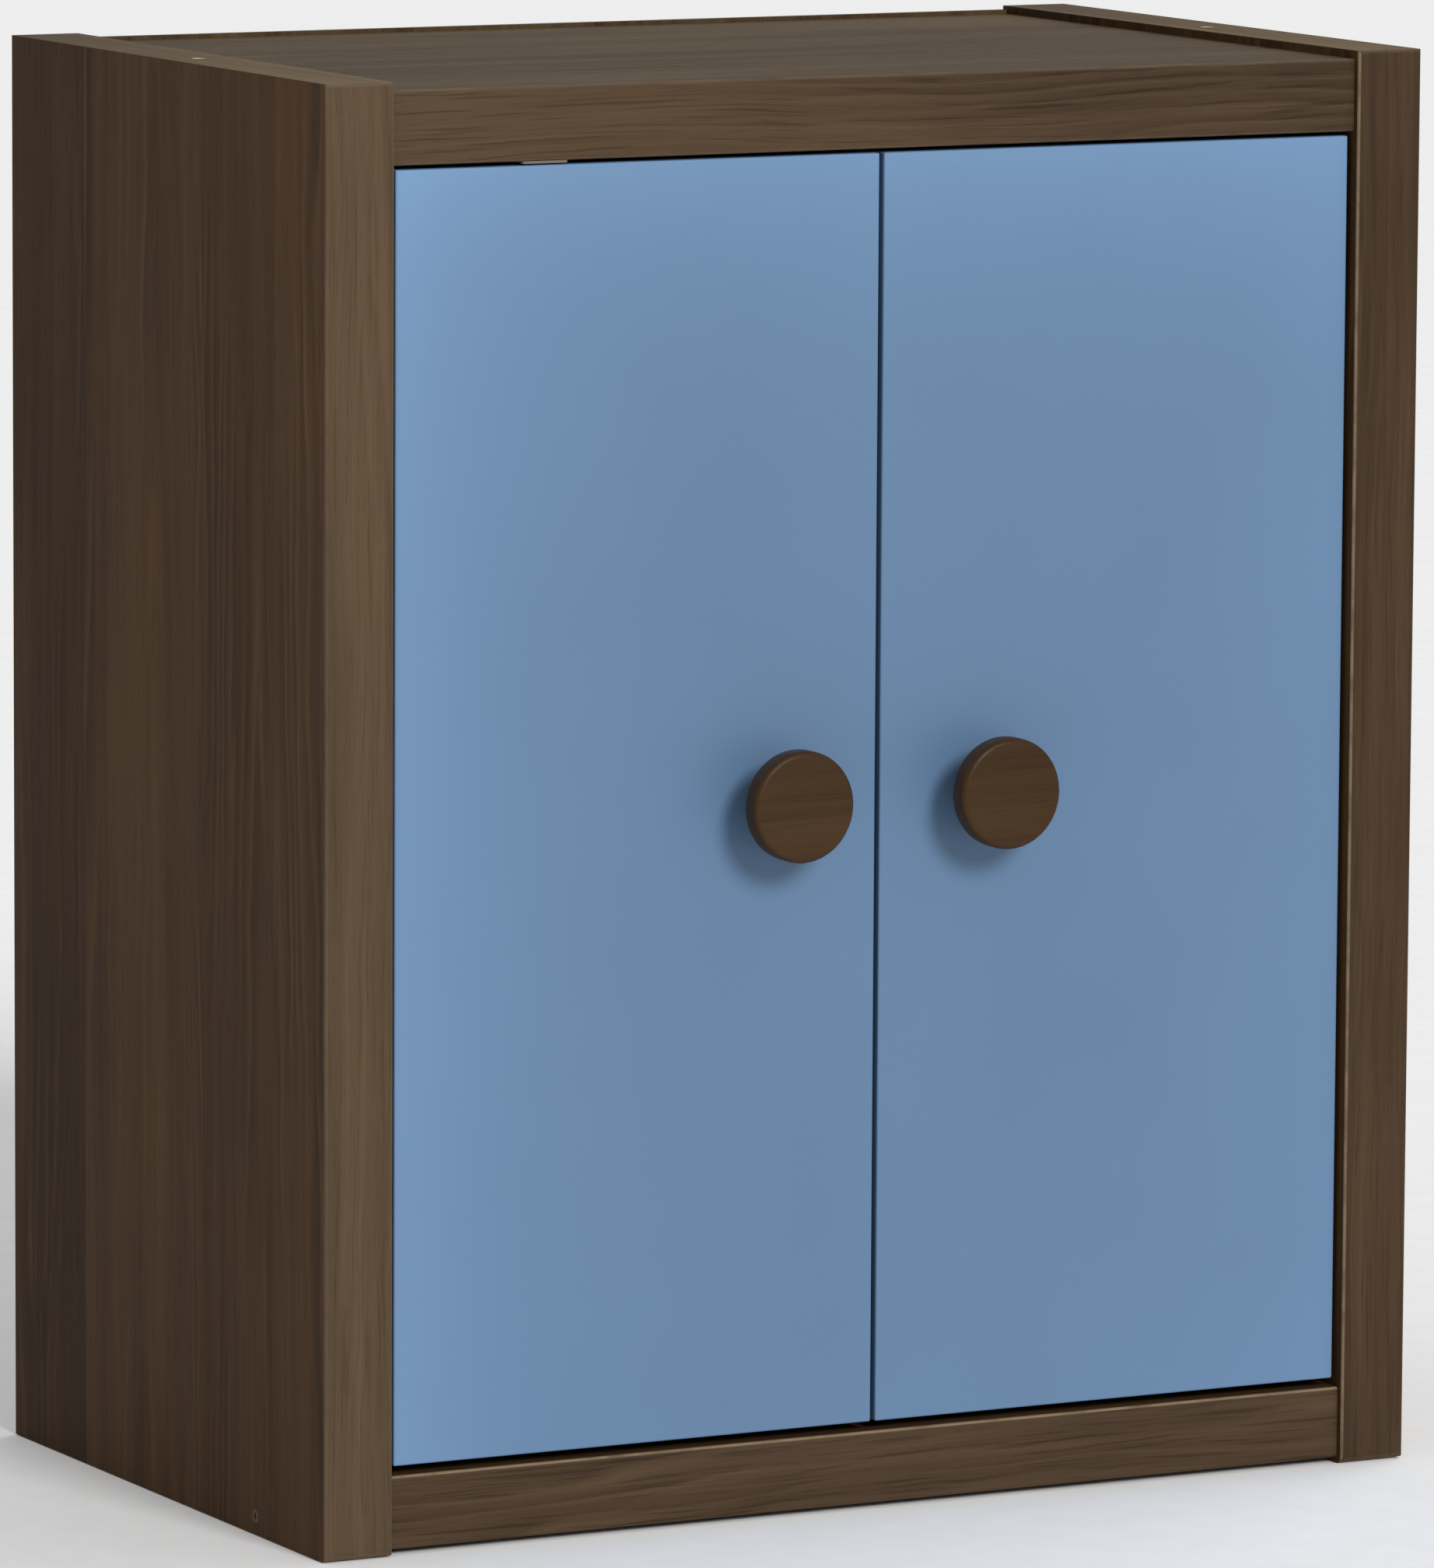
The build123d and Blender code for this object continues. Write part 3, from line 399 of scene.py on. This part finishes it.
# the sides darken towards the back, a painted falloff of light, and their top ends are lightened as a painted
# sheen
SIDE = dict(
    grain="Z", across="Y", leaf_width=0.072, leaves=0.15, figure=0.23, streaks=0.44, dashes=0.06,
    light_lines=0.11, drift=("Y", -0.66), edge_tone=0.20, shine=0.05, rough=0.56,
    painted_end_sheen=(2.20, 3.00, 3.60), rub_and_highlight=0.10, glint=WARM_GLINT, stops=SIDE_WOOD,
)
BOARD = dict(
    grain="X", across="Y", leaf_width=0.11, leaves=0.07, figure=0.12, shine=0.105, rub_and_highlight=0.1,
    glint=WARM_GLINT, rough=0.56,
)
# the back board's top edge is lightened as a painted sheen
BACK = dict(
    grain="Z", across="X", leaf_width=0.13, tone=0.10, leaves=0.08, figure=0.14, rub_and_highlight=0.1, rough=0.6,
    shine=0.05, painted_end_sheen=(1.3, 1.8, 2.1), stops=BACK_WOOD,
)
UPRIGHT = dict(grain="Z", across="X", leaf_width=0.15, leaves=0.04, figure=0.06, streaks=0.46)
RAIL = dict(grain="X", across="Z", leaf_width=0.15, leaves=0.04, figure=0.14, streaks=0.40, dashes=0.20)
KNOB = dict(
    grain="X", across="Z", leaf_width=0.09, leaves=0.03, figure=0.04, streaks=0.24, dashes=0.05,
    light_lines=0.0, rough=0.42, shine=0.14, rub_and_highlight=0.0, stops=KNOB_WOOD,
)

by_node = {
    "left_side_panel": walnut("side_left", seed=2.3, **SIDE),
    "right_side_panel": walnut("side_right", seed=7.9, **SIDE),
    "top_panel": walnut("board_top", seed=4.6, stops=TOP_WOOD, **BOARD),
    "bottom_panel": walnut("board_bottom", seed=5.7, stops=BOARD_WOOD, **BOARD),
    "shelf": walnut("board_shelf", seed=9.1, stops=BOARD_WOOD, **BOARD),
    "back_panel": walnut("board_back", seed=3.4, **BACK),
    # the bands' tones and the rails' drift are painted light, lighter on the left and darker to the right;
    # the right band's left-facing arrises and the lower band's upper arrises are lighter, partly a painted
    # highlight
    "left_front_band": walnut("band_left", seed=1.2, tone=0.07, stops=LEFT_BAND, rub_and_highlight=0.10, **UPRIGHT),
    "right_front_band": walnut(
        "band_right", seed=6.4, tone=-0.12, stops=RIGHT_BAND, rub_and_highlight=0.5, worn_and_lit_side=("X", -1.0), **UPRIGHT),
    "top_front_band": walnut(
        "band_top", seed=8.5, tone=0.03, stops=TOP_RAIL, drift=("X", -0.25), rub_and_highlight=0.12, **RAIL),
    "bottom_front_band": walnut(
        "band_bottom", seed=0.4, tone=0.05, stops=LOWER_RAIL, drift=("X", -0.12), rub_and_highlight=0.55,
        worn_and_lit_side=("Z", 1.0), **RAIL),
    "shelf_front_band": walnut("band_shelf", seed=3.9, stops=LOWER_RAIL, rub_and_highlight=0.2, **RAIL),
    "gap_pad": plastic("felt_pad", srgb(112, 100, 92), 0.8),
    "side_lock_screws": metal("bronzed_screw", (0.10, 0.075, 0.055), 0.50, "Z", 0.3, metallic=0.7),
}
by_slot = {
    "walnut_knob": walnut("knob_wood", seed=5.1, **KNOB),
    "blue_paint": paint("blue_paint_with_painted_sheen", BLUE, "left_door_panel"),
    "nickel_steel": metal("nickel_plate", (0.72, 0.70, 0.67), 0.36, "Y", 0.12),
    "zinc_screws": metal("zinc_plate", (0.66, 0.67, 0.68), 0.38, "X", 0.15),
    "zinc_cast": metal("zinc_casting", (0.50, 0.50, 0.50), 0.42, "Z", 0.25),
    "brass_insert": metal("brass", (0.66, 0.50, 0.24), 0.32, "Y", 0.25),
    "ferrite": metal("ferrite_magnet", (0.10, 0.10, 0.105), 0.55, "X", 0.3, metallic=0.6),
    "beech": walnut("beech_wood", "X", "Z", seed=2.2, leaves=0.05, figure=0.12, rub_and_highlight=0.0, stops=BEECH),
    "pale_plastic": plastic("pale_moulding", srgb(226, 214, 196)),
    "brown_plastic": plastic("brown_moulding", srgb(66, 50, 38)),
}
for name, node in nodes.items():
    for slot in node.material_slots:
        slot.material = by_node.get(name) or by_slot[slot.material.name.split(".")[0]]


# ---------------------------------------------------------------- knobs
KNOB_TURNS = 160


def arc(centre, radius, start, end, steps):
    """Points on a circle from one angle to another, in degrees, as (radius from the axis, height)."""
    angles = [math.radians(start + (end - start) * i / steps) for i in range(steps + 1)]
    return [(centre[0] + radius * math.cos(a), centre[1] + radius * math.sin(a)) for a in angles]


def eased(a, b, steps, slope_a, slope_b):
    """A smooth curve between two points of an outline, with a tangent at each end."""
    points = []
    for i in range(1, steps):
        t = i / steps
        ha, hb = 2 * t**3 - 3 * t * t + 1, 3 * t * t - 2 * t**3
        ta, tb = t**3 - 2 * t * t + t, t**3 - t * t
        points.append(tuple(ha * a[k] + hb * b[k] + ta * slope_a[k] + tb * slope_b[k] for k in (0, 1)))
    return points


def knob_outline(radius, length, bore, bore_depth):
    """The turned shape from the bore's end, over the foot, neck and disc, to the middle of the face."""
    foot, neck, disc, rim, crown, break_edge = 0.0135, 0.0100, 0.0140, 0.0030, 0.0004, 0.0004
    shoulder = length - disc
    foot_top = (foot, 0.0020)
    waist = (neck, shoulder * 0.52)
    under = (radius - 0.0070, shoulder - 0.0012)
    side = (radius, shoulder + 0.0040)
    edge_radius = radius - rim
    points = [(0.0, bore_depth), (bore, bore_depth), (bore, break_edge), (bore + break_edge, 0.0)]
    points += arc((foot - break_edge, break_edge), break_edge, -90, 0, 3) + [foot_top]
    points += eased(foot_top, waist, 10, (-0.002, 0.009), (0.0, 0.007)) + [waist]
    points += eased(waist, under, 12, (0.0, 0.009), (0.012, 0.004)) + [under]
    points += eased(under, side, 10, (0.008, 0.003), (0.0, 0.008)) + [side]
    points += arc((edge_radius, length - crown - rim), rim, 0, 86, 12)
    points += [(edge_radius * (1 - i / 10), length - crown * (1 - i / 10) ** 2) for i in range(2, 10)]
    return points + [(0.0, length)]


def linked(name, shape):
    """The finished bmesh as an object of the scene."""
    mesh = bpy.data.meshes.new(name)
    shape.to_mesh(mesh)
    shape.free()
    made = bpy.data.objects.new(name, mesh)
    scene.collection.objects.link(made)
    return made


def turned_knob(name, side):
    """A finely turned knob in the place of the CAD one."""
    low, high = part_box(f"{side}_knob")
    insert_low, insert_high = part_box(f"{side}_knob_insert")
    axis_x, axis_z = (low.x + high.x) / 2, (low.z + high.z) / 2
    bore = (insert_high.x - insert_low.x) / 2 + 0.00005
    bore_depth = high.y - insert_low.y + 0.002
    shape = bmesh.new()
    rings = []
    for radius, height in knob_outline((high.x - low.x) / 2, high.y - low.y, bore, bore_depth):
        count = KNOB_TURNS if radius else 1
        angles = [2 * math.pi * i / count for i in range(count)]
        rings.append([
            shape.verts.new((axis_x + radius * math.cos(a), high.y - height, axis_z + radius * math.sin(a)))
            for a in angles])
    for one, two in zip(rings, rings[1:]):
        for i in range(KNOB_TURNS):
            j = (i + 1) % KNOB_TURNS
            corners = [one[i % len(one)], one[j % len(one)], two[j % len(two)], two[i % len(two)]]
            shape.faces.new(list(dict.fromkeys(corners)))
    bmesh.ops.recalc_face_normals(shape, faces=shape.faces)
    made = linked(name, shape)
    made.data.polygons.foreach_set("use_smooth", [True] * len(made.data.polygons))
    made.data.materials.append(by_slot["walnut_knob"])
    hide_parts(f"{side}_knob")
    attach(made, f"{side}_door")


turned_knob("turned_knob_left", "left")
turned_knob("turned_knob_right", "right")


# ---------------------------------------------------------------- floor and light
FLOOR_SIZE = 120.0
FLOOR_DROP = 0.0005       # just under the feet
AMBIENT = 0.46


def floor_material():
    t = Tree("floor_paper")
    x, y, _ = t.split(t.place)
    fibre = t.noise(t.join(t.scaled(x, 40.0), t.scaled(y, 40.0), 0.0), 3.0)
    colour = t.ramp(fibre, ((0.3, (0.93, 0.93, 0.93)), (0.7, (0.96, 0.96, 0.96))))
    return t.finish(colour, 0.9, specular=0.1)


def sun(name, azimuth, elevation, strength, width):
    """A soft lamp. Azimuth 0 shines from the object's front, and 90 from its right."""
    data = bpy.data.lights.new(name, "SUN")
    data.energy = strength
    data.angle = math.radians(width)
    lamp = bpy.data.objects.new(name, data)
    scene.collection.objects.link(lamp)
    a, e = math.radians(azimuth), math.radians(elevation)
    towards = Vector((math.sin(a) * math.cos(e), -math.cos(a) * math.cos(e), math.sin(e)))
    lamp.rotation_mode = "QUATERNION"
    lamp.rotation_quaternion = towards.to_track_quat("Z", "Y")


def floor():
    shape = bmesh.new()
    bmesh.ops.create_grid(shape, x_segments=8, y_segments=8, size=FLOOR_SIZE / 2)
    made = linked("floor", shape)
    made.data.materials.append(floor_material())
    made.location.z = cad_box[0].z - FLOOR_DROP


floor()
world = bpy.data.worlds.new("studio")
scene.world = world
world.use_nodes = True
backdrop = world.node_tree.nodes["Background"]
backdrop.inputs["Color"].default_value = (1.0, 1.0, 1.0, 1.0)
backdrop.inputs["Strength"].default_value = AMBIENT
sun("key", azimuth=2.0, elevation=27.0, strength=2.28, width=19.0)
sun("rear_fill", azimuth=112.0, elevation=44.0, strength=0.55, width=40.0)


# ---------------------------------------------------------------- camera
EYE = (-2.6153, -4.9945, 1.1051)
YAW, PITCH, ROLL = 0.481832, 0.135172, 0.005539
FOCAL, IMAGE_HEIGHT = 14653.8, 2016       # in image points

forward = Vector((math.sin(YAW) * math.cos(PITCH), math.cos(YAW) * math.cos(PITCH), -math.sin(PITCH)))
right = Vector((math.cos(YAW), -math.sin(YAW), 0.0))
up = right.cross(forward)
turned_right = right * math.cos(ROLL) + up * math.sin(ROLL)
turned_up = up * math.cos(ROLL) - right * math.sin(ROLL)
camera_data = bpy.data.cameras.new("camera")
camera_data.sensor_width = 36.0
camera_data.lens = FOCAL / IMAGE_HEIGHT * camera_data.sensor_width
camera_data.clip_start, camera_data.clip_end = 0.05, 300.0
camera = bpy.data.objects.new("camera", camera_data)
scene.collection.objects.link(camera)
turn = Matrix((turned_right, turned_up, -forward)).transposed()
camera.matrix_world = Matrix.Translation(EYE) @ turn.to_4x4()
scene.camera = camera
scene.view_settings.view_transform = "Standard"
scene.view_settings.look = "None"
scene.view_settings.exposure = 0.0
